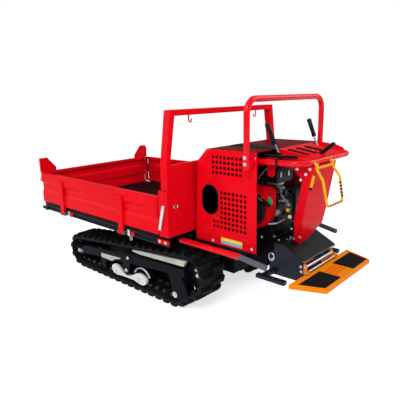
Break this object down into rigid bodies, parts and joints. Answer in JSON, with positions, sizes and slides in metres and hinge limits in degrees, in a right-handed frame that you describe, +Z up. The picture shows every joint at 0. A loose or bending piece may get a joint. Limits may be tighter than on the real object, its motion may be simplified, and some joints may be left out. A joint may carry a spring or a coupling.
{
  "type": "crawler carrier",
  "caption": "Tracked carrier with a tipping drop-sided bed, an open engine bay, lever console, roll hoop and a folding stand-on step.",
  "frame": {"origin": "on the ground at the centre of the machine's outline", "axes": "+X towards the dump end, +Y to the machine's left, +Z up"},
  "size_m": [2.313, 1.12, 1.266],
  "materials": {
    "paint_red": "gloss red paint",
    "paint_black": "semi-gloss black paint",
    "steel": "bright zinc plate",
    "rubber": "matt black rubber",
    "paint_orange": "orange paint",
    "paint_cream": "matt cream plastic",
    "paint_yellow": "yellow paint",
    "cast_alloy": "cast, bare",
    "plastic_black": "fine grain"
  },
  "bodies": {
    "root": {"track_left": "rubber", "track_right": "rubber", "track_wheels": "paint_black", "slide_rails": "paint_cream", "track_rollers": "paint_black", "track_frame_left": "paint_black", "track_frame_right": "paint_black", "bogies": "cast_alloy", "chassis_frame": "paint_black", "tip_shaft": "paint_black", "gearbox": "paint_black", "engine_deck": "paint_black", "engine_block": "cast_alloy", "fan_shroud": "paint_red", "air_cleaner": "plastic_black", "fuel_tank": "paint_red", "muffler": "steel", "hood_left": "paint_red", "hood_right": "paint_red", "hood_top": "paint_red", "roll_hoop": "paint_red", "handle_rail": "paint_red", "console_plate": "paint_red", "console_column": "paint_red", "levers": "plastic_black", "stop_handle": "paint_yellow", "rear_box": "paint_black", "box_cover": "plastic_black", "guard_bars": "paint_red", "step_rails": "paint_black", "step_hinge": "steel", "cylinder_mount": "paint_black"},
    "bed": {"bed_floor": "paint_black", "rear_wall": "paint_red", "guard_frame": "paint_red", "rope_hooks": "paint_red", "hinge_brackets": "steel", "bed_brackets": "paint_black", "rear_latches": "steel"},
    "side_gate_left_body": {"side_gate_left": "paint_red"},
    "side_gate_right_body": {"side_gate_right": "paint_red"},
    "front_gate_body": {"front_gate": "paint_red", "front_latches": "paint_red"},
    "barrel": {"cylinder_barrel": "paint_black"},
    "rod": {"cylinder_rod": "steel"},
    "step": {"step_frame": "paint_orange", "step_tread": "rubber"}
  },
  "joints": [
    {"name": "bed_tip", "type": "hinge", "parent": "root", "child": "bed", "pos_m": [0.8895, 0, 0.426], "axis": [0, 1, 0], "range_deg": [0, 45]},
    {"name": "side_gate_left_hinge", "type": "hinge", "parent": "bed", "child": "side_gate_left_body", "pos_m": [0, 0.548, 0.445], "axis": [-1, 0, 0], "range_deg": [0, 165]},
    {"name": "side_gate_right_hinge", "type": "hinge", "parent": "bed", "child": "side_gate_right_body", "pos_m": [0, -0.548, 0.445], "axis": [1, 0, 0], "range_deg": [0, 165]},
    {"name": "front_gate_hinge", "type": "hinge", "parent": "bed", "child": "front_gate_body", "pos_m": [1.113, 0, 0.445], "axis": [0, 1, 0], "range_deg": [0, 90]},
    {"name": "cylinder_swing", "type": "hinge", "parent": "root", "child": "barrel", "pos_m": [0.2895, 0, 0.22], "axis": [0, -1, 0], "range_deg": [0, 6.82]},
    {"name": "cylinder_slide", "type": "slide", "parent": "barrel", "child": "rod", "axis": [0.8676, 0, 0.4973], "range_m": [0, 0.1334]},
    {"name": "step_fold", "type": "hinge", "parent": "root", "child": "step", "pos_m": [-0.9925, 0, 0.345], "axis": [0, 1, 0], "range_deg": [0, 85]}
  ],
  "couplings": [
    {"joint": "cylinder_swing", "follows": "bed_tip", "ratio": 0.15034},
    {"joint": "cylinder_slide", "follows": "bed_tip", "m_per_rad": 0.16918}
  ]
}
